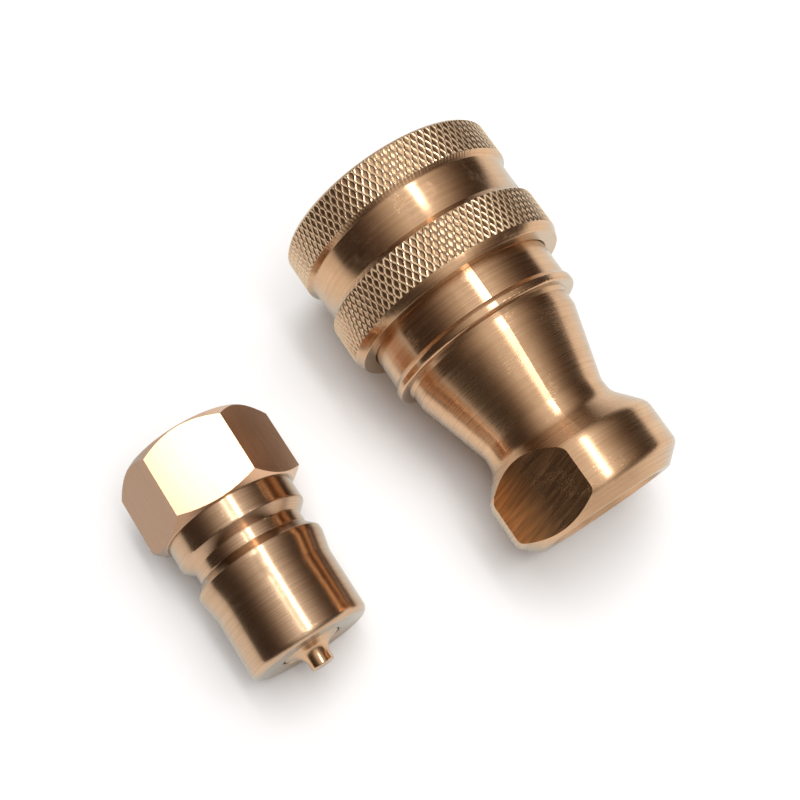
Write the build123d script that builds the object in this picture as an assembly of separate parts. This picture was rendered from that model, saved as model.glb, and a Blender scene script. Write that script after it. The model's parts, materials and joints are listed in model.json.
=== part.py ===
from build123d import *
import os
from math import atan2, cos, degrees, pi, sin, sqrt

os.makedirs("parts", exist_ok=True)

# Quick disconnect coupler, 1/2 inch size, both halves lying side by side.
# Each half is built along its own local Z axis and then laid on the floor.
# Socket: z = 0 at the mouth, +z towards the threaded port.
# Plug:   z = 0 at the hexagon end face, +z towards the nose.
# In both local frames +X points up and +Y points sideways once the half is laid down.
# All lengths in millimetres.

# ---- shared sizes -------------------------------------------------------------------
RUN = 0.08             # radial running clearance
SEAT = 0.05            # clearance of a piece that sits in a groove or counterbore
THREAD_R = 10.5        # port bore at the major radius of the 1/2 inch pipe thread
HEX_FLATS = 27.0       # wrench size of the plug's hexagon
PORT_FLATS = 29.0      # wrench size of the two flats on the socket's flange

# ---- socket: outside ----------------------------------------------------------------
BAND_R = 22.5          # knurled bands
GRIP_R = 21.45         # smooth grip between the bands
BAND_1 = (0.6, 7.3)
GRIP = (8.2, 15.4)
BAND_2 = (16.6, 24.2)
SLEEVE_LEN = 25.9
BODY_R = 18.9          # cylinder that carries the rear of the sleeve
RIDGE_R, RIDGE_START = 19.45, 32.6
BODY_END = 34.9        # seam between front body and rear adapter
NECK_R, NECK_END = 17.1, 38.3
WAIST_R, WAIST_START, WAIST_END = 12.9, 52.6, 55.4
FLANGE_R, FLANGE_START, FLANGE_END = 17.35, 60.6, 69.2
FLANGE_FOOT = 68.4     # where the flange touches the floor
PORT_END_R, SOCKET_LEN = 13.8, 72.2
FLATS_ROLL = 48.0      # direction of the first wrench flat, degrees from up towards the plug

# ---- socket: inside -----------------------------------------------------------------
MOUTH_Z = 0.3          # mouth face of the body, just inside the sleeve
MOUTH_R = 12.95        # entry bore
ENTRY_LAND_END = 3.4   # end of the plain entry bore
RACE_R = 13.05         # slightly wider bore round the ball holes
ENTRY_END, GUIDE_START = 11.0, 15.0
GUIDE_R = 12.0         # bore that guides the nose
FRONT_R = 16.47        # body under the sleeve rib
SPRING_SEAT = 20.0     # step from FRONT_R to BODY_R
SEAL_GROOVE = (17.3, 21.1, 14.0)      # start, end, bottom radius
SEAT_FACE, SEAT_THICK = 28.0, 2.5     # valve seat wall
SEAT_R = 5.8
CHAMBER_R = 10.5
SPIGOT_R, SPIGOT_END = 14.6, 41.6
JOINT_GROOVE = (37.0, 39.2, 12.65)
FLOW_R = 8.3
GUIDE_SEAT = 46.5      # step that holds the valve guide
THREAD_START = 56.0

# ---- ball lock ----------------------------------------------------------------------
BALL_R = 2.381         # 3/16 inch balls
BALL_COUNT = 8
BALL_Z, BALL_CENTRE_R = 6.2, 13.85
BALL_HOLE_R, BALL_LIP_R, BALL_LIP_TOP = 2.431, 2.3, 13.2
RING = (1.5, 2.8, 14.95, 17.95)       # front, rear, inner radius, outer radius
RELIEF_R = 18.25
RIB_START, RAMP_TOP_R, LAND_START = 2.85, 17.55, 5.7
RIB_END = 8.8

# ---- plug ---------------------------------------------------------------------------
HEX_LEN, HEX_CHAMFER_R = 15.8, 13.2
HEX_BACK_SLOPE, HEX_FRONT_SLOPE = 1.0, 0.62     # chamfer length along the axis per mm of radius
COLLAR_R, COLLAR_END = 12.8, 20.3
GROOVE_R, GROOVE_START, GROOVE_END = 10.95, 22.1, 24.4
SHOULDER_R, SHOULDER_START, SHOULDER_END = 12.7, 26.3, 27.4
NOSE_R, NOSE_START, NOSE_LEN, NOSE_ROUND = 11.85, 31.2, 44.1, 1.4
PLUG_THREAD_END = 16.3
PLUG_CHAMBER_R = 9.0
CLIP = (18.5, 19.7, 8.0, 9.85)        # rear, front, inner radius, outer radius
CLIP_GROOVE_R = 9.9

# ---- poppets ------------------------------------------------------------------------
TIP_R, NECK_POPPET_R, HEAD_R, STEM_R = 2.25, 5.5, 8.0, 2.1
HEAD_GAP, HEAD_THICK = 0.4, 2.5
SOCKET_TIP_OUT, PLUG_TIP_OUT = 4.0, 3.9
SEAL_MAJOR, SEAL_MINOR = 6.9, 0.8
GUIDE_THICK, HUB_R, HUB_LEN = 2.0, 3.6, 2.5

# ---- how the halves lie -------------------------------------------------------------
SIDE_GAP = 56.8        # sideways distance between the two axes
PLUG_BACK = 18.2       # hexagon face behind the socket mouth
PLUG_YAW = -0.2        # small turn of the plug away from parallel, degrees


def outline(points):
    """Closed wire in the XZ plane from (radius, z) or (radius, z, corner radius) points."""
    n = len(points)
    legs = []
    for i, p in enumerate(points):
        here = Vector(p[0], 0, p[1])
        corner = p[2] if len(p) > 2 else 0
        if not corner:
            legs.append((here, None, here))
            continue
        before = Vector(points[i - 1][0], 0, points[i - 1][1])
        after = Vector(points[(i + 1) % n][0], 0, points[(i + 1) % n][1])
        u, v = (before - here).normalized(), (after - here).normalized()
        half = u.get_angle(v) * pi / 360
        reach = corner * cos(half) / sin(half)
        bisector = (u + v).normalized()
        middle = here + bisector * (corner / sin(half) - corner)
        legs.append((here + u * reach, middle, here + v * reach))
    edges = []
    for i, (start, middle, end) in enumerate(legs):
        if middle:
            edges.append(ThreePointArc(start, middle, end))
        following = legs[(i + 1) % n][0]
        if (following - end).length > 1e-6:
            edges.append(Line(end, following))
    return Wire(edges)


def turned(points):
    """Solid of revolution about local Z."""
    return revolve(make_face(outline(points)), Axis.Z, 360)


def ring_of(start, end, inner, outer):
    return turned([(inner, start), (outer, start), (outer, end), (inner, end)])


def torus(major, minor, z):
    return Pos(0, 0, z) * Torus(major, minor)


def coil(start, end, mean, wire, turns):
    """Round-wire spring between two flat faces."""
    height = end - start - wire
    path = Helix(pitch=height / turns, height=height, radius=mean, center=(0, 0, start + wire / 2))
    section = Plane(origin=path @ 0, z_dir=path % 0) * Circle(wire / 2)
    return sweep(section, path=path, is_frenet=True)


# ---- socket pieces ------------------------------------------------------------------
def build_front_body():
    seat_back = SEAT_FACE + SEAT_THICK
    groove_start, groove_end, groove_r = SEAL_GROOVE
    joint_start, joint_end, joint_r = JOINT_GROOVE
    body = turned([
        (MOUTH_R + 0.7, MOUTH_Z), (FRONT_R - 0.4, MOUTH_Z), (FRONT_R, MOUTH_Z + 0.4),
        (FRONT_R, RING[0] - SEAT), (RING[2] - SEAT, RING[0] - SEAT),
        (RING[2] - SEAT, RING[1] + SEAT), (FRONT_R, RING[1] + SEAT),
        (FRONT_R, SPRING_SEAT), (BODY_R - 0.3, SPRING_SEAT), (BODY_R, SPRING_SEAT + 0.3),
        (BODY_R, RIDGE_START), (RIDGE_R, RIDGE_START + 0.9, 0.8), (RIDGE_R, BODY_END - 0.1, 0.5),
        (RIDGE_R - 0.9, BODY_END), (SPIGOT_R, BODY_END),
        (SPIGOT_R, joint_start), (joint_r, joint_start), (joint_r, joint_end), (SPIGOT_R, joint_end),
        (SPIGOT_R, SPIGOT_END - 0.6), (SPIGOT_R - 0.6, SPIGOT_END), (CHAMBER_R, SPIGOT_END),
        (CHAMBER_R, seat_back), (SEAT_R + 0.3, seat_back), (SEAT_R, seat_back - 0.3),
        (SEAT_R, SEAT_FACE), (GUIDE_R, SEAT_FACE),
        (GUIDE_R, groove_end), (groove_r, groove_end),
        (groove_r, groove_start), (GUIDE_R, groove_start),
        (GUIDE_R, GUIDE_START), (RACE_R, ENTRY_END), (RACE_R, ENTRY_LAND_END + 0.1),
        (MOUTH_R, ENTRY_LAND_END), (MOUTH_R, MOUTH_Z + 0.7),
    ])
    upright = (Align.CENTER, Align.CENTER, Align.MIN)
    drill = Pos(0, 0, BALL_LIP_TOP) * Cylinder(BALL_HOLE_R, 8, align=upright)
    lip = Pos(0, 0, 11) * Cylinder(BALL_LIP_R, 8, align=upright)
    for angle in ball_angles():
        place = Pos(0, 0, BALL_Z) * Rot(0, 0, angle) * Rot(0, 90, 0)
        body -= place * (drill + lip)
    return body


def build_rear_adapter():
    adapter = turned([
        (SPIGOT_R + SEAT, BODY_END), (NECK_R + 0.4, BODY_END), (NECK_R, BODY_END + 0.8),
        (NECK_R, NECK_END), (WAIST_R, WAIST_START, 4.0), (WAIST_R + 0.2, WAIST_END, 3.0),
        (FLANGE_R, FLANGE_START, 3.0), (FLANGE_R, FLANGE_END, 2.0), (PORT_END_R, SOCKET_LEN, 0.3),
        (THREAD_R + 1.3, SOCKET_LEN), (THREAD_R, SOCKET_LEN - 1.3),
        (THREAD_R, THREAD_START), (FLOW_R, THREAD_START - 1.0), (FLOW_R, GUIDE_SEAT),
        (CHAMBER_R, GUIDE_SEAT), (CHAMBER_R, SPIGOT_END + 0.1), (SPIGOT_R + SEAT, SPIGOT_END + 0.1),
    ])
    cutter = Pos(PORT_FLATS / 2 + 10, 0, WAIST_END + 15) * Box(20, 60, 30)
    for angle in (FLATS_ROLL, FLATS_ROLL + 180):
        adapter -= Rot(0, 0, angle) * cutter
    return adapter


def build_sleeve():
    bore = BODY_R + RUN
    return turned([
        (RELIEF_R + 0.4, 0), (BAND_R - 0.6, 0), (BAND_R, BAND_1[0]), (BAND_R, BAND_1[1]),
        (GRIP_R, GRIP[0]), (GRIP_R, GRIP[1]), (BAND_R, BAND_2[0]), (BAND_R, BAND_2[1]),
        (BAND_R - 0.8, SLEEVE_LEN), (bore + 0.2, SLEEVE_LEN), (bore, SLEEVE_LEN - 0.2),
        (bore, RIB_END), (FRONT_R + RUN, RIB_END), (FRONT_R + RUN, LAND_START),
        (RAMP_TOP_R, RIB_START), (RELIEF_R, RIB_START), (RELIEF_R, 0.4),
    ])


def build_split_ring(front, rear, inner, outer, gap):
    ring = ring_of(front, rear, inner, outer)
    return ring - Pos((inner + outer) / 2, 0, (front + rear) / 2) * Box(2 * (outer - inner), gap, 5)


def build_poppet(tip_out, stem_len):
    """Poppet with the seat's inner face at z = 0, tip towards -z, stem towards +z."""
    face = -SEAT_THICK
    groove_in, groove_out = SEAL_MAJOR - SEAL_MINOR - SEAT, SEAL_MAJOR + SEAL_MINOR + SEAT
    groove_floor = 2 * SEAL_MINOR
    back = HEAD_GAP + HEAD_THICK
    tip = face - tip_out
    return turned([
        (0, tip), (TIP_R, tip, 0.35), (TIP_R, face - 0.9, 2.4), (NECK_POPPET_R, face + 0.15),
        (NECK_POPPET_R, HEAD_GAP), (groove_in, HEAD_GAP), (groove_in, groove_floor),
        (groove_out, groove_floor), (groove_out, HEAD_GAP), (HEAD_R, HEAD_GAP),
        (HEAD_R, back - 0.5), (HEAD_R - 0.5, back), (STEM_R + 1.2, back), (STEM_R, back + 1.2),
        (STEM_R, stem_len - 0.4), (STEM_R - 0.4, stem_len), (0, stem_len),
    ])


def build_valve_guide(outer):
    """Perforated guide: flat disc at z = 0..GUIDE_THICK, hub towards +z."""
    guide = turned([
        (STEM_R + SEAT, 0), (outer, 0), (outer, GUIDE_THICK), (HUB_R, GUIDE_THICK),
        (HUB_R, GUIDE_THICK + HUB_LEN), (STEM_R + SEAT, GUIDE_THICK + HUB_LEN),
    ])
    hole_r = (outer - HUB_R) / 2 - 0.9
    for k in range(6):
        guide -= Rot(0, 0, 60 * k + 30) * Pos((outer + HUB_R) / 2, 0, 1) * Cylinder(hole_r, 4)
    return guide


# ---- plug body ----------------------------------------------------------------------
def build_plug_body():
    corner = HEX_FLATS / sqrt(3)
    cut = corner - HEX_CHAMFER_R
    hexagon = extrude(RegularPolygon(HEX_FLATS / 2, 6, major_radius=False, rotation=30), HEX_LEN)
    hexagon &= turned([
        (0, 0), (HEX_CHAMFER_R, 0), (corner, cut * HEX_BACK_SLOPE),
        (corner, HEX_LEN - cut * HEX_FRONT_SLOPE), (HEX_CHAMFER_R, HEX_LEN), (0, HEX_LEN),
    ])
    shank = turned([
        (0, HEX_LEN - 1), (COLLAR_R, HEX_LEN - 1), (COLLAR_R, COLLAR_END, 0.4),
        (GROOVE_R, GROOVE_START, 0.5), (GROOVE_R, GROOVE_END, 0.5),
        (SHOULDER_R, SHOULDER_START, 0.3), (SHOULDER_R, SHOULDER_END, 0.8),
        (NOSE_R, NOSE_START, 3.0), (NOSE_R, NOSE_LEN, NOSE_ROUND), (0, NOSE_LEN),
    ])
    seat_back = NOSE_LEN - SEAT_THICK
    bore = turned([
        (0, -1), (THREAD_R + 2.2, -1), (THREAD_R, 1.2), (THREAD_R, PLUG_THREAD_END),
        (PLUG_CHAMBER_R, PLUG_THREAD_END + 0.4), (PLUG_CHAMBER_R, CLIP[0] - SEAT),
        (CLIP_GROOVE_R, CLIP[0] - SEAT), (CLIP_GROOVE_R, CLIP[1] + SEAT),
        (PLUG_CHAMBER_R, CLIP[1] + SEAT), (PLUG_CHAMBER_R, seat_back),
        (SEAT_R + 0.3, seat_back), (SEAT_R, seat_back + 0.3), (SEAT_R, NOSE_LEN - 0.2),
        (SEAT_R + 0.4, NOSE_LEN + 0.2), (0, NOSE_LEN + 0.2),
    ])
    return hexagon + shank - bore


def ball_angles():
    return [360 / BALL_COUNT * (k + 0.5) for k in range(BALL_COUNT)]


# ---- assemble each half in its own frame --------------------------------------------
flip = Rot(180, 0, 0)      # turns a poppet or guide end for end
seat_socket = SEAT_FACE + SEAT_THICK
seat_plug = NOSE_LEN - SEAT_THICK
guide_front = GUIDE_SEAT - GUIDE_THICK
poppet_back = HEAD_GAP + HEAD_THICK

socket = {
    "socket_front_body": build_front_body(),
    "rear_adapter": build_rear_adapter(),
    "joint_oring": torus(13.6, 0.94, sum(JOINT_GROOVE[:2]) / 2),
    "nose_seal_oring": torus(12.8, 1.19, SEAL_GROOVE[0] + 1.25),
    "nose_seal_backup_ring": ring_of(
        SEAL_GROOVE[1] - 1.25, SEAL_GROOVE[1] - 0.05, 12.15, SEAL_GROOVE[2] - SEAT),
    "sleeve_retaining_ring": build_split_ring(*RING, gap=3.0),
    "sleeve": build_sleeve(),
    "sleeve_spring": coil(RIB_END, SPRING_SEAT, 17.75, 1.5, 2.6),
    "socket_poppet": Pos(0, 0, seat_socket) * build_poppet(SOCKET_TIP_OUT, GUIDE_SEAT - seat_socket - 0.3),
    "socket_poppet_seal": torus(SEAL_MAJOR, SEAL_MINOR, seat_socket + SEAL_MINOR),
    "socket_valve_guide": Pos(0, 0, GUIDE_SEAT) * flip * build_valve_guide(CHAMBER_R - SEAT),
    "socket_valve_spring": coil(seat_socket + poppet_back, guide_front, 6.2, 1.0, 4.5),
}
for k, angle in enumerate(ball_angles()):
    socket[f"locking_ball_{k + 1}"] = Rot(0, 0, angle) * Pos(BALL_CENTRE_R, 0, BALL_Z) * Sphere(BALL_R)

plug = {
    "plug_body": build_plug_body(),
    "plug_retaining_ring": build_split_ring(*CLIP, gap=4.0),
    "plug_valve_guide": Pos(0, 0, CLIP[1]) * build_valve_guide(PLUG_CHAMBER_R - SEAT),
    "plug_valve_spring": coil(CLIP[1] + GUIDE_THICK, seat_plug - poppet_back, 6.2, 1.0, 6.5),
    "plug_poppet": Pos(0, 0, seat_plug) * flip * build_poppet(PLUG_TIP_OUT, seat_plug - CLIP[1] - 0.3),
    "plug_poppet_seal": torus(SEAL_MAJOR, SEAL_MINOR, seat_plug - SEAL_MINOR),
}

# ---- lay both halves on the floor ---------------------------------------------------
# The socket rests on the rear edge of its second band and on the port flange,
# the plug on one hexagon flat and the end of its nose.
socket_tilt = atan2(BAND_R - FLANGE_R, FLANGE_FOOT - BAND_2[1])
plug_tilt = atan2(HEX_FLATS / 2 - NOSE_R, NOSE_LEN - NOSE_ROUND - HEX_LEN)


def laid(x, y, tilt, yaw=0.0):
    """Frame with its axis towards -Y, dipped by tilt, and its X axis upwards."""
    turn = yaw * pi / 180
    ahead = Vector(sin(turn), -cos(turn), 0)
    axis = ahead * cos(tilt) + Vector(0, 0, -sin(tilt))
    up = ahead * sin(tilt) + Vector(0, 0, cos(tilt))
    return Plane(origin=(x, y, 0), x_dir=up, z_dir=axis)


def floor_height(pieces, plane):
    return -min((plane * s).bounding_box(optimal=True).min.Z for s in pieces)


def moved(plane, offset):
    return Plane(origin=plane.origin + offset, x_dir=plane.x_dir, z_dir=plane.z_dir)


socket_plane = laid(0, 0, socket_tilt)
plug_plane = laid(-SIDE_GAP, -PLUG_BACK, plug_tilt, PLUG_YAW)
outer_socket = [socket["sleeve"], socket["rear_adapter"]]
outer_plug = [plug["plug_body"], plug["plug_poppet"]]
socket_plane = moved(socket_plane, Vector(0, 0, floor_height(outer_socket, socket_plane)))
plug_plane = moved(plug_plane, Vector(0, 0, floor_height(outer_plug, plug_plane)))

box = Compound([socket_plane * s for s in outer_socket + [socket["socket_front_body"]]]
               + [plug_plane * s for s in outer_plug]).bounding_box(optimal=True)
centre = Vector(-(box.min.X + box.max.X) / 2, -(box.min.Y + box.max.Y) / 2, 0)
socket_plane, plug_plane = moved(socket_plane, centre), moved(plug_plane, centre)

for pieces, plane in ((socket, socket_plane), (plug, plug_plane)):
    for name, solid in pieces.items():
        placed = plane * solid
        placed.label = name
        export_step(placed, f"parts/{name}.step")

print("box", box.size, "tilts", degrees(socket_tilt), degrees(plug_tilt))
for name, plane in (("socket", socket_plane), ("plug", plug_plane)):
    axes = (plane.origin, plane.x_dir, plane.z_dir)
    print("frame", name, *[repr(v) for a in axes for v in (a.X, a.Y, a.Z)])
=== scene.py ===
import json
from collections import namedtuple
from math import cos, pi, radians, sin

import bpy
import numpy as np
from mathutils import Matrix, Vector


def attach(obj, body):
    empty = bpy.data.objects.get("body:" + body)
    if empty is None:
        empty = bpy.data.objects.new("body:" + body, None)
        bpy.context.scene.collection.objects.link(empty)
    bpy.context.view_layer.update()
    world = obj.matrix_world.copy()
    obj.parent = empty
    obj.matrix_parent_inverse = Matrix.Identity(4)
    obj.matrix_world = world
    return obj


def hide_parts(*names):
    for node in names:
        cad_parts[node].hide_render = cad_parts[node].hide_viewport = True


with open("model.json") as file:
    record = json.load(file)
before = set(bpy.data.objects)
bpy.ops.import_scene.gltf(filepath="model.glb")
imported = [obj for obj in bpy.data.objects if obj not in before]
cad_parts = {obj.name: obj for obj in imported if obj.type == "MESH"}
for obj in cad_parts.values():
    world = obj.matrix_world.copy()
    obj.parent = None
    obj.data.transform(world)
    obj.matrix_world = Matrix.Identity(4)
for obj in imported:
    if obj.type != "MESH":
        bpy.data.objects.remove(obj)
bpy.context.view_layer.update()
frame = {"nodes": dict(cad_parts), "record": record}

MM = 0.001
NODES = frame["nodes"]
MOUNTS = {m["name"]: m for m in frame["record"]["mounts"]}


# ---- local frames of the two halves ---------------------------------------------------
class Half:
    """Axis frame of one half: z runs along its axis, x points up, y sideways."""

    def __init__(self, mount, z_mm):
        """mount is a mount on the axis, and z_mm its place along it."""
        entry = MOUNTS[mount]
        self.z = Vector(entry["axis"]).normalized()
        self.x = (Vector((0, 0, 1)) - self.z * self.z.z).normalized()
        self.y = self.z.cross(self.x)
        self.origin = Vector(entry["pos_m"]) - self.z * z_mm * MM

    def matrix(self):
        """Takes points in the half's own axes to the scene."""
        turned = Matrix((self.x, self.y, self.z)).transposed().to_4x4()
        turned.translation = self.origin
        return turned


SOCKET = Half("socket_port", 63.4)        # z = 0 at the mouth, towards the port
PLUG = Half("plug_nose", 37.0)            # z = 0 at the hexagon face, towards the nose

# ---- sizes in millimetres, the same as the CAD part's ----------------------------------
BAND_R, GRIP_R, SLEEVE_LEN = 22.5, 21.45, 25.9
BAND_1, GRIP, BAND_2 = (0.6, 7.3), (8.2, 15.4), (16.6, 24.2)
SLEEVE_BORE, RIB_BORE, RIB_END = 18.98, 16.55, 8.8
RELIEF_R, RAMP_TOP_R, RIB_START, LAND_START = 18.25, 17.55, 2.85, 5.7
KNURL_COUNT = 96         # ridges of each hand round the sleeve
KNURL_STEPS = 10         # mesh columns for each ridge
KNURL_ROW = 2.55         # axial length of one diamond
KNURL_DEPTH = 0.11
RIDGE_TOP = 0.05         # half width of a ridge's flat top, in ridge spacings
RIDGE_WALL = 0.11        # width of its sloping side
THREAD_R, THREAD_PITCH, THREAD_DEPTH = 10.5, 1.814, 1.1
THREAD_STEPS = 64        # mesh steps for each turn
SOCKET_THREAD, PLUG_THREAD = (56.3, 70.9), (0.9, 16.0)
FLATS_ROLL = radians(48.0)
PORT_FLAT, WAIST_END = 14.5, 55.4
MILL_TURN = radians(-79.5)              # slant of the cutter's lines on the flange's flats
HEX_SIDES_R, HEX_END = 13.3, 15.8       # only the hexagon's sides lie outside this radius

# ---- colours ---------------------------------------------------------------------------
BRASS, PLUG_BRASS, WORN_BRASS = (0.65, 0.405, 0.235), (0.58, 0.385, 0.245), (0.90, 0.66, 0.43)
OXIDE_EDGE = (0.74, 0.86, 0.9)          # takes the glare off the edges, red first
# painted shade: the hexagon's flats get a lit colour on one side and a shaded colour on the other
HEX_PAINTED_LIT, HEX_PAINTED_SHADE = (0.78, 0.48, 0.30), (0.44, 0.26, 0.16)
# painted reflection: the flange's wrench flats run from a dim colour to a bright, orange one along the
# flat
FLANGE_PAINTED_DIM, FLANGE_PAINTED_BRIGHT = (0.50, 0.29, 0.15), (0.88, 0.40, 0.15)
DARK_LINE, LIGHT_LINE = (0.90, 0.87, 0.84), (1.10, 1.12, 1.15)     # factors on the brass
DULL, TARNISHED = (0.86, 0.86, 0.86), (0.84, 0.78, 0.72)           # factors on the brass
STEEL, WIRE = (0.6, 0.61, 0.63), (0.5, 0.5, 0.52)
RUBBER, PTFE = (0.02, 0.02, 0.021), (0.8, 0.79, 0.75)
LATHE_STRETCH = 0.87                    # how far the lathe's grooves stretch the gloss


# ---- mesh helpers ----------------------------------------------------------------------
def add_mesh(name, half, verts_mm, faces, sharp_deg=30):
    """Smooth-shaded object from points in a half's own axes; edges over sharp_deg stay sharp."""
    mesh = bpy.data.meshes.new(name)
    mesh.from_pydata([tuple(v * MM) for v in verts_mm], [], faces)
    mesh.transform(half.matrix())
    mesh.polygons.foreach_set("use_smooth", [True] * len(mesh.polygons))
    mesh.set_sharp_from_angle(angle=radians(sharp_deg))
    mesh.update()
    obj = bpy.data.objects.new(name, mesh)
    bpy.context.scene.collection.objects.link(obj)
    return obj


def ring_faces(rows, columns):
    """Quads of a grid that wraps round both ways."""
    faces = []
    for i in range(rows):
        a, b = i * columns, (i + 1) % rows * columns
        for j in range(columns):
            k = (j + 1) % columns
            faces.append((a + j, a + k, b + k, b + j))
    return faces


# ---- knurled sleeve --------------------------------------------------------------------
def knurl_drop(theta, z):
    """Depth below the band's surface: a net of raised ridges round flat-bottomed diamonds."""
    u, v = theta * KNURL_COUNT / (2 * pi), z / KNURL_ROW
    to_left_ridge = np.abs((u + v) - np.round(u + v))
    to_right_ridge = np.abs((u - v) - np.round(u - v))
    near = np.minimum(to_left_ridge, to_right_ridge)
    wall = np.clip((near - RIDGE_TOP) / RIDGE_WALL, 0, 1)
    return KNURL_DEPTH * wall * wall * (3 - 2 * wall)


def build_sleeve():
    """The sleeve as one closed surface: rows of points round the axis, mouth end first."""
    columns = KNURL_COUNT * KNURL_STEPS
    theta = np.arange(columns) * 2 * pi / columns
    rows = []

    def plain(*profile):
        """Smooth rows, one for each radius and place along the axis."""
        for r, z in profile:
            rows.append((np.full(columns, r), z))

    def band(start, end):
        """Rows of a knurled band."""
        step = KNURL_ROW / KNURL_STEPS
        count = int((end - start) / step)
        for i in range(count + 1):
            z = start + i * (end - start) / count
            drop = knurl_drop(theta, start + i * step)
            rows.append((BAND_R - drop, z))

    plain((RELIEF_R + 0.4, 0), (BAND_R - 0.62, 0), (BAND_R - 0.5, 0.1), (BAND_R - 0.04, BAND_1[0]))
    band(BAND_1[0] + 0.1, BAND_1[1] - 0.1)
    plain((BAND_R - 0.05, BAND_1[1]),
          (GRIP_R + 0.04, GRIP[0] - 0.04), (GRIP_R, GRIP[0] + 0.04),
          (GRIP_R, GRIP[1] - 0.04), (GRIP_R + 0.04, GRIP[1] + 0.04),
          (BAND_R - 0.05, BAND_2[0]))
    band(BAND_2[0] + 0.1, BAND_2[1] - 0.1)
    # chamfer and end face, then back along the bore to the mouth
    plain((BAND_R - 0.03, BAND_2[1]), (BAND_R - 0.78, SLEEVE_LEN - 0.05), (BAND_R - 0.84, SLEEVE_LEN),
          (SLEEVE_BORE + 0.2, SLEEVE_LEN), (SLEEVE_BORE, SLEEVE_LEN - 0.2), (SLEEVE_BORE, RIB_END),
          (RIB_BORE, RIB_END), (RIB_BORE, LAND_START), (RAMP_TOP_R, RIB_START),
          (RELIEF_R, RIB_START), (RELIEF_R, 0.4))
    verts = np.concatenate([
        np.stack([r * np.cos(theta), r * np.sin(theta), np.full(columns, z)], 1) for r, z in rows])
    faces = ring_faces(len(rows), columns)
    return add_mesh("knurled_sleeve", SOCKET, [Vector(v) for v in verts], faces)


# ---- pipe threads ----------------------------------------------------------------------
def build_thread(name, half, start, end):
    """Helical ridge on the wall of a port, fading out at both ends."""
    turns = (end - start) / THREAD_PITCH - 0.9
    count = int(turns * THREAD_STEPS)
    profile = ((0.46, 0.0), (0.10, 0.94), (0.0, 1.0), (-0.10, 0.94), (-0.46, 0.0))
    verts, faces = [], []
    for i in range(count + 1):
        t = i / THREAD_STEPS
        fade = min(1.0, 3 * t, 3 * (count - i) / THREAD_STEPS)
        angle = 2 * pi * t
        z = start + (t + 0.45) * THREAD_PITCH
        for across, height in profile:
            r = THREAD_R + 0.02 - height * THREAD_DEPTH * fade
            verts.append(Vector((r * cos(angle), r * sin(angle), z + across * THREAD_PITCH)))
    n = len(profile)
    for i in range(count):
        for j in range(n - 1):
            a = i * n + j
            faces.append((a, a + n, a + n + 1, a + 1))
        faces.append((i * n + n - 1, (i + 1) * n + n - 1, (i + 1) * n, i * n))
    faces.append(tuple(range(n)))
    faces.append(tuple(count * n + j for j in reversed(range(n))))
    return add_mesh(name, half, verts, faces, 50)


# ---- materials -------------------------------------------------------------------------
class Shader:
    """Small helper that builds one node material."""

    def __init__(self, name, metallic=0.0):
        self.material = bpy.data.materials.new(name)
        self.material.use_nodes = True
        self.tree = self.material.node_tree
        self.tree.nodes.clear()
        self.out = self.node("ShaderNodeOutputMaterial")
        self.bsdf = self.node("ShaderNodeBsdfPrincipled")
        self.bsdf.inputs["Metallic"].default_value = metallic
        self.link(self.bsdf.outputs["BSDF"], self.out.inputs["Surface"])

    def node(self, kind, **settings):
        n = self.tree.nodes.new(kind)
        for key, value in settings.items():
            setattr(n, key, value)
        return n

    def link(self, a, b):
        self.tree.links.new(a, b)

    def feed(self, socket, value):
        """Link a node's output to the socket, or set a constant on it."""
        if hasattr(value, "is_output"):
            self.link(value, socket)
        elif value is not None:
            socket.default_value = value

    def math(self, operation, a, b=None):
        n = self.node("ShaderNodeMath", operation=operation)
        self.feed(n.inputs[0], a)
        self.feed(n.inputs[1], b)
        return n.outputs[0]

    def times(self, a, b):
        return self.math("MULTIPLY", a, b)

    def plus(self, a, b):
        return self.math("ADD", a, b)

    def vector(self, operation, a, b=None):
        n = self.node("ShaderNodeVectorMath", operation=operation)
        self.feed(n.inputs[0], a)
        self.feed(n.inputs[1], b)
        return n.outputs["Value" if operation == "DOT_PRODUCT" else "Vector"]

    def combine(self, x, y, z):
        n = self.node("ShaderNodeCombineXYZ")
        for socket, value in zip(n.inputs, (x, y, z)):
            self.feed(socket, value)
        return n.outputs[0]

    def noise(self, vector, scale, detail=2.0, rough=0.5):
        n = self.node("ShaderNodeTexNoise")
        self.feed(n.inputs["Vector"], vector)
        n.inputs["Scale"].default_value = scale
        n.inputs["Detail"].default_value = detail
        n.inputs["Roughness"].default_value = rough
        return n.outputs["Fac"]

    def scaled(self, color, factor):
        """A constant colour times a varying factor."""
        n = self.node("ShaderNodeVectorMath", operation="SCALE")
        n.inputs[0].default_value = color
        self.feed(n.inputs["Scale"], factor)
        return n.outputs["Vector"]

    def spread(self, value, low, high, to_low=0.0, to_high=1.0):
        """Value carried from the range low..high to the range to_low..to_high, and held inside it."""
        n = self.node("ShaderNodeMapRange")
        self.feed(n.inputs["Value"], value)
        for key, v in (("From Min", low), ("From Max", high), ("To Min", to_low), ("To Max", to_high)):
            n.inputs[key].default_value = v
        return n.outputs["Result"]

    def mix(self, factor, a, b):
        """Colour a where factor is 0, colour b where it is 1."""
        n = self.node("ShaderNodeMix", data_type="RGBA")
        self.feed(n.inputs[0], factor)
        self.feed(n.inputs[6], a)
        self.feed(n.inputs[7], b)
        return n.outputs[2]

    def blend(self, factor, a, b):
        """Number a where factor is 0, number b where it is 1."""
        n = self.node("ShaderNodeMix", data_type="FLOAT")
        for socket, value in zip((n.inputs[0], n.inputs[2], n.inputs[3]), (factor, a, b)):
            self.feed(socket, value)
        return n.outputs[0]

    def bump(self, height, strength, distance, normal=None):
        n = self.node("ShaderNodeBump")
        n.inputs["Strength"].default_value = strength
        n.inputs["Distance"].default_value = distance
        self.feed(n.inputs["Height"], height)
        self.feed(n.inputs["Normal"], normal)
        return n.outputs["Normal"]


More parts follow.
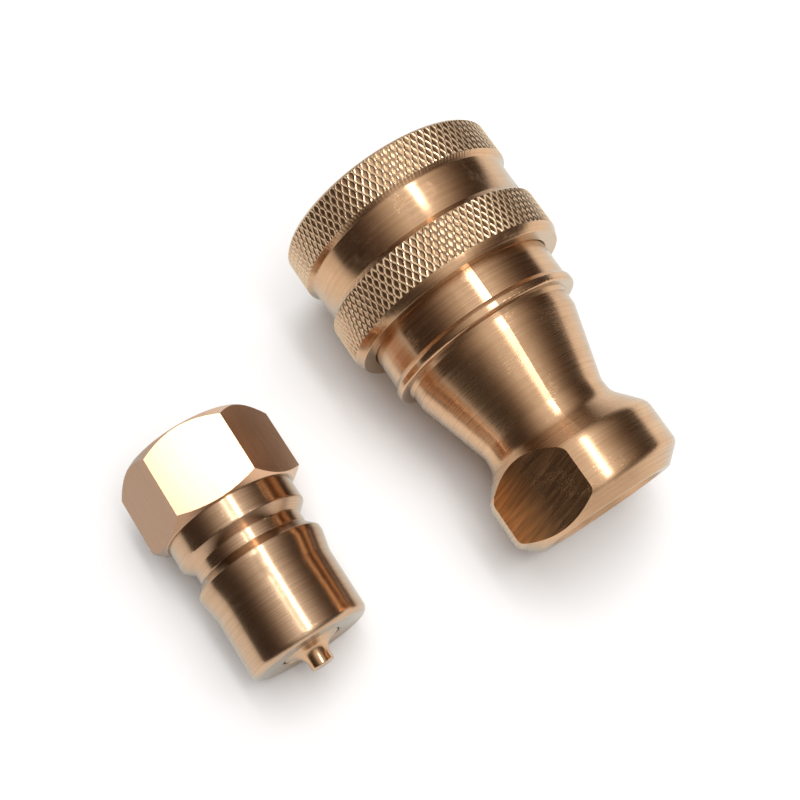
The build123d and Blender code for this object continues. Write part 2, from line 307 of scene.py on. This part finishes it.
class Place:
    """Where a shaded point lies on its half, in millimetres: along, above and beside the axis."""

    def __init__(self, s, half):
        spot = s.node("ShaderNodeTexCoord").outputs["Object"]
        self.local = s.vector("SUBTRACT", spot, tuple(half.origin))
        self.axial, self.up, self.side = [
            s.times(s.vector("DOT_PRODUCT", self.local, tuple(axis)), 1 / MM)
            for axis in (half.z, half.x, half.y)]
        self.angle = s.math("ARCTAN2", self.side, self.up)
        self.radius = s.math("SQRT", s.plus(s.times(self.up, self.up), s.times(self.side, self.side)))
        self.solid = s.combine(self.up, self.side, self.axial)


# the faces of a turned part that aren't turned: where they are and how they look
Faces = namedtuple("Faces", "mask cut color gloss relief")


def opaque(color, factors=(1.0, 1.0, 1.0)):
    """RGBA of a colour with each channel scaled."""
    return tuple(min(1.0, c * k) for c, k in zip(color, factors)) + (1.0,)


def between(s, value, low, high, edge=0.04):
    """1 where value lies between low and high, 0 outside."""
    return s.times(s.spread(value, low - edge, low), s.spread(value, high, high + edge, 1.0, 0.0))


def streaked(s, cut, swing, painted_light_ramp, first, last):
    """A colour that goes from first to last along a ramp of painted light and shade, and varies by
    swing along the cut lines.
    """
    streak = s.spread(cut, 0.3, 0.7, 1.0 - swing, 1.0 + swing)
    return s.mix(painted_light_ramp, s.scaled(first, streak), s.scaled(last, streak))


def hexagon_faces(s, place):
    """The plug's hexagon keeps the drawn bar's lines, along the axis; its flats also carry painted
    shade, lighter on one side and darker on the other.
    """
    outside = s.spread(place.radius, HEX_SIDES_R, HEX_SIDES_R + 0.1)
    mask = s.times(outside, between(s, place.axial, -1.0, HEX_END))
    lines = s.combine(s.times(place.up, 2.2), s.times(place.side, 2.2), s.times(place.axial, 0.05))
    cut = s.noise(lines, 1.6, 3.0, 0.6)
    # painted shade: the hexagon goes from lit on one side to shaded on the other
    painted_light_ramp = s.spread(place.side, -9.0, 9.0)
    return Faces(mask, cut, streaked(s, cut, 0.04, painted_light_ramp, HEX_PAINTED_LIT, HEX_PAINTED_SHADE),
                 s.spread(cut, 0.35, 0.65, 0.27, 0.30), 0.08)


def knurled_faces(s, place):
    """The ridges of the knurled bands are worn bright, and their hollows are dull."""
    bands = s.plus(between(s, place.axial, *BAND_1), between(s, place.axial, *BAND_2))
    mask = s.times(bands, s.spread(place.radius, GRIP_R + 0.4, GRIP_R + 0.5))
    cut = s.noise(place.solid, 3.0, 3.0, 0.6)
    crest = s.spread(place.radius, BAND_R - KNURL_DEPTH, BAND_R - 0.02)
    return Faces(mask, cut, s.mix(crest, opaque(BRASS, DULL), opaque(WORN_BRASS)),
                 s.spread(cut, 0.35, 0.65, 0.23, 0.26), 0.16)


def flange_faces(s, place):
    """The wrench flats on the socket's flange carry the slanting lines of the milling cutter, and a
    painted reflection that makes them lighter and more orange towards one end.
    """
    outward = s.vector("DOT_PRODUCT", place.solid, (cos(FLATS_ROLL), sin(FLATS_ROLL), 0.0))
    along = s.vector("DOT_PRODUCT", place.solid, (-sin(FLATS_ROLL), cos(FLATS_ROLL), 0.0))
    on_flat = between(s, s.math("ABSOLUTE", outward), PORT_FLAT - 0.03, PORT_FLAT + 0.03, 0.03)
    mask = s.times(on_flat, s.spread(place.axial, WAIST_END - 0.1, WAIST_END))
    slant = s.plus(s.times(along, cos(MILL_TURN)), s.times(place.axial, sin(MILL_TURN)))
    run = s.plus(s.times(place.axial, cos(MILL_TURN)), s.times(along, -sin(MILL_TURN)))
    cut = s.noise(s.combine(s.times(slant, 1.5), s.times(run, 0.09), 0.0), 1.0, 2.0, 0.7)
    # painted reflection: the flats brighten towards one end; the same ramp also raises the roughness
    painted_light_ramp = s.spread(along, -1.0, 8.0)
    gloss = s.plus(s.spread(cut, 0.35, 0.65, 0.24, 0.27), s.times(painted_light_ramp, 0.16))
    return Faces(mask, cut, streaked(s, cut, 0.32, painted_light_ramp, FLANGE_PAINTED_DIM, FLANGE_PAINTED_BRIGHT), gloss, 0.64)


def scratched(s, place, wear, relief):
    """Short scratches, narrow bands of a stretched noise, and scattered dents, both in patches."""
    skew = s.combine(s.plus(s.times(place.axial, 2.2), s.times(place.up, 0.5)),
                     s.plus(s.times(place.side, 2.2), s.times(place.axial, -0.6)), place.up)
    near = s.math("ABSOLUTE", s.math("SUBTRACT", s.noise(skew, 0.9, 3.0, 0.6), 0.5))
    patch = s.spread(s.noise(place.solid, 0.2, 1.0), 0.56, 0.64)
    scratch = s.times(s.spread(near, 0.0, 0.008, 1.0, 0.0), patch)
    relief = s.bump(scratch, 0.2 * wear, 0.00004, relief)
    points = s.node("ShaderNodeTexVoronoi")
    s.link(place.solid, points.inputs["Vector"])
    points.inputs["Scale"].default_value = 1.3
    patch = s.spread(s.noise(place.solid, 0.13, 1.0), 0.50, 0.60)
    dents = s.times(s.spread(points.outputs["Distance"], 0.06, 0.17, 1.0, 0.0), patch)
    return s.bump(dents, 0.35 * wear, -0.00002, relief)


def brass(name, half, color=BRASS, rough=0.225, wear=1.0, lines=1.0, faces=None):
    """Turned brass: lathe lines round the axis, tarnish, scratches and dents.

    wear scales the scratches and dents, and lines the lathe's grooves. faces is the
    function that describes the faces which aren't turned.
    """
    s = Shader(name, metallic=1.0)
    place = Place(s, half)
    groove = s.combine(place.axial, place.radius, s.times(place.angle, 0.04))
    lathe = s.noise(groove, 4.0, 1.0, 0.6)
    tone = s.plus(s.times(lathe, 0.72), s.times(s.noise(groove, 0.5, 2.0, 0.5), 0.28))
    base = s.mix(s.spread(tone, 0.33, 0.67), opaque(color, DARK_LINE), opaque(color, LIGHT_LINE))
    tarnish = s.spread(s.noise(place.solid, 0.35, 3.0, 0.6), 0.5, 0.7, 0.0, 0.35)
    base = s.mix(tarnish, base, opaque(color, TARNISHED))
    gloss = s.spread(lathe, 0.3, 0.7, rough - 0.03 * lines, rough + 0.04 * lines)
    height = s.times(lathe, 0.3 * lines)
    stretch = LATHE_STRETCH
    if faces:
        other = faces(s, place)
        base = s.mix(other.mask, base, other.color)
        gloss = s.blend(other.mask, gloss, other.gloss)
        height = s.blend(other.mask, height, s.times(other.cut, other.relief))
        stretch = s.blend(other.mask, stretch, 0.0)
    s.link(base, s.bsdf.inputs["Base Color"])
    s.link(gloss, s.bsdf.inputs["Roughness"])
    s.bsdf.inputs["Specular Tint"].default_value = opaque(OXIDE_EDGE)
    # the gloss is stretched across the grooves, which run round the axis
    round_axis = s.vector("NORMALIZE", s.vector("CROSS_PRODUCT", tuple(half.z), place.local))
    s.link(round_axis, s.bsdf.inputs["Tangent"])
    s.feed(s.bsdf.inputs["Anisotropic"], stretch)
    s.bsdf.inputs["Anisotropic Rotation"].default_value = 0.25
    s.link(scratched(s, place, wear, s.bump(height, 0.3, 0.00003)), s.bsdf.inputs["Normal"])
    return s.material


def steel(name, half, color, rough):
    s = Shader(name, metallic=1.0)
    grain = s.noise(Place(s, half).solid, 2.5, 4.0, 0.6)
    dark = opaque(color, (0.85, 0.85, 0.85))
    s.link(s.mix(s.spread(grain, 0.3, 0.7), dark, opaque(color)), s.bsdf.inputs["Base Color"])
    s.link(s.spread(grain, 0.3, 0.7, rough - 0.04, rough + 0.06), s.bsdf.inputs["Roughness"])
    s.link(s.bump(grain, 0.1, 0.00002), s.bsdf.inputs["Normal"])
    return s.material


def soft(name, half, color, rough):
    """Rubber or plastic with a fine grain."""
    s = Shader(name)
    grain = s.noise(Place(s, half).solid, 6.0, 3.0, 0.6)
    light = opaque([c * 1.5 + 0.01 for c in color])
    s.link(s.mix(s.spread(grain, 0.35, 0.65), opaque(color), light), s.bsdf.inputs["Base Color"])
    s.link(s.spread(grain, 0.3, 0.7, rough - 0.05, rough + 0.08), s.bsdf.inputs["Roughness"])
    s.link(s.bump(grain, 0.2, 0.00003), s.bsdf.inputs["Normal"])
    return s.material


def give(obj, material):
    """Put one material on the whole object."""
    obj.data.materials.clear()
    obj.data.materials.append(material)


# ---- build -----------------------------------------------------------------------------
sleeve = build_sleeve()
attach(sleeve, "sleeve")
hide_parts("sleeve")

socket_thread = build_thread("socket_port_thread", SOCKET, *SOCKET_THREAD)
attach(socket_thread, "socket")
plug_thread = build_thread("plug_port_thread", PLUG, *PLUG_THREAD)
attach(plug_thread, "plug")

socket_brass = brass("socket_brass", SOCKET)
plug_brass = brass("plug_brass", PLUG, PLUG_BRASS, rough=0.24, wear=0.4, lines=0.4, faces=hexagon_faces)
give(sleeve, brass("sleeve_brass", SOCKET, wear=1.3, faces=knurled_faces))
give(socket_thread, socket_brass)
give(plug_thread, plug_brass)
for name, node in NODES.items():
    half = PLUG if name.startswith("plug") else SOCKET
    if "spring" in name:
        give(node, steel(name, half, WIRE, 0.25))
    elif "ball" in name:
        give(node, steel(name, half, STEEL, 0.1))
    elif "retaining" in name:
        give(node, steel(name, half, WIRE, 0.3))
    elif "backup" in name:
        give(node, soft(name, half, PTFE, 0.4))
    elif "seal" in name or "oring" in name:
        give(node, soft(name, half, RUBBER, 0.45))
    elif "poppet" in name or "guide" in name:
        give(node, brass(name, half, rough=0.22, wear=0.3))
    elif name == "rear_adapter":
        give(node, brass(name, half, rough=0.28, lines=0.6, faces=flange_faces))
    else:
        give(node, plug_brass if half is PLUG else socket_brass)

# ---- floor, light and camera -----------------------------------------------------------
bpy.ops.mesh.primitive_plane_add(size=6.0)
floor = bpy.context.object
floor.name = "floor"
paper = Shader("floor_paper")
paper.bsdf.inputs["Base Color"].default_value = (0.81, 0.81, 0.81, 1.0)
paper.bsdf.inputs["Roughness"].default_value = 0.8
paper.bsdf.inputs["Specular IOR Level"].default_value = 0.2
give(floor, paper.material)

# a dark warm room under one long bright ceiling panel: for each angle from the panel's
# middle the brightness, and green and blue as parts of red
SKY = ((0, 0.95, 1.0, 1.0), (15, 0.95, 1.0, 1.0), (19, 0.90, 0.98, 0.96), (24, 0.70, 0.95, 0.9),
       (30, 0.56, 0.92, 0.85), (37, 0.37, 0.88, 0.79), (45, 0.22, 0.84, 0.72), (53, 0.13, 0.8, 0.68),
       (61, 0.085, 0.78, 0.65), (70, 0.065, 0.78, 0.65), (180, 0.065, 0.78, 0.65))
PANEL_TILT = radians(7)
PANEL_SQUASH = 0.17                     # makes the panel long towards +Y and -Y
world = bpy.data.worlds.new("studio")
world.use_nodes = True
tree = world.node_tree


def sky_node(kind, **settings):
    n = tree.nodes.new(kind)
    for key, value in settings.items():
        setattr(n, key, value)
    return n


direction = sky_node("ShaderNodeTexCoord").outputs["Generated"]
squash = sky_node("ShaderNodeCombineXYZ")
panel_axes = ((cos(PANEL_TILT), 0, -sin(PANEL_TILT)),
              (0, PANEL_SQUASH, 0),
              (sin(PANEL_TILT), 0, cos(PANEL_TILT)))
for socket, axis in zip(squash.inputs, panel_axes):
    dot = sky_node("ShaderNodeVectorMath", operation="DOT_PRODUCT")
    tree.links.new(direction, dot.inputs[0])
    dot.inputs[1].default_value = axis
    tree.links.new(dot.outputs["Value"], socket)
unit = sky_node("ShaderNodeVectorMath", operation="NORMALIZE")
tree.links.new(squash.outputs[0], unit.inputs[0])
split = sky_node("ShaderNodeSeparateXYZ")
tree.links.new(unit.outputs["Vector"], split.inputs[0])
shift = sky_node("ShaderNodeMath", operation="MULTIPLY_ADD")
shift.inputs[1].default_value = shift.inputs[2].default_value = 0.5
tree.links.new(split.outputs["Z"], shift.inputs[0])
ramp = sky_node("ShaderNodeValToRGB")
stops = ramp.color_ramp.elements
for angle, level, green, blue in SKY:
    place = 0.5 + 0.5 * cos(radians(angle))
    stop = stops[-1] if angle == 0 else stops[0] if angle == 180 else stops.new(place)
    stop.position = place
    stop.color = (level, level * green, level * blue, 1.0)
tree.links.new(shift.outputs[0], ramp.inputs["Fac"])
tree.links.new(ramp.outputs["Color"], tree.nodes["Background"].inputs["Color"])
bpy.context.scene.world = world


def softbox(name, place_mm, size_mm, radiance, in_gloss=True):
    """Rectangular light facing straight down; radiance is what a mirror would show."""
    data = bpy.data.lights.new(name, "AREA")
    data.shape = "RECTANGLE"
    data.size, data.size_y = size_mm[0] * MM, size_mm[1] * MM
    data.energy = radiance * pi * data.size * data.size_y
    obj = bpy.data.objects.new(name, data)
    obj.location = Vector(place_mm) * MM
    obj.visible_glossy = in_gloss
    bpy.context.scene.collection.objects.link(obj)
    return obj


softbox("strip", (305, -120, 1500), (170, 1400), 8.0)
back = softbox("back", (-30, 235, 830), (110, 160), 14.0)
softbox("fill", (110, 0, 400), (400, 400), 3.1, in_gloss=False)

# the small back light is aimed at the plug only
aimed = bpy.data.collections.new("plug_only")
aimed.objects.link(NODES["plug_body"])
back.light_linking.receiver_collection = aimed

CAMERA_MM = (-31.794, -68.837, 221.191)
AZIMUTH, ELEVATION, ROLL = radians(-28.0), radians(68.584), radians(5.684)
camera_data = bpy.data.cameras.new("camera")
camera_data.sensor_width = 36.0
camera_data.lens = 52.76
camera_data.clip_start = 0.01
camera = bpy.data.objects.new("camera", camera_data)
forward = Vector((-sin(AZIMUTH) * cos(ELEVATION), cos(AZIMUTH) * cos(ELEVATION), -sin(ELEVATION)))
level = forward.cross(Vector((0, 0, 1))).normalized()
below = forward.cross(level)
right, down = level * cos(ROLL) + below * sin(ROLL), below * cos(ROLL) - level * sin(ROLL)
pose = Matrix((right, -down, -forward)).transposed().to_4x4()
pose.translation = Vector(CAMERA_MM) * MM
camera.matrix_world = pose
bpy.context.scene.collection.objects.link(camera)
bpy.context.scene.camera = camera
bpy.context.scene.view_settings.view_transform = "Standard"
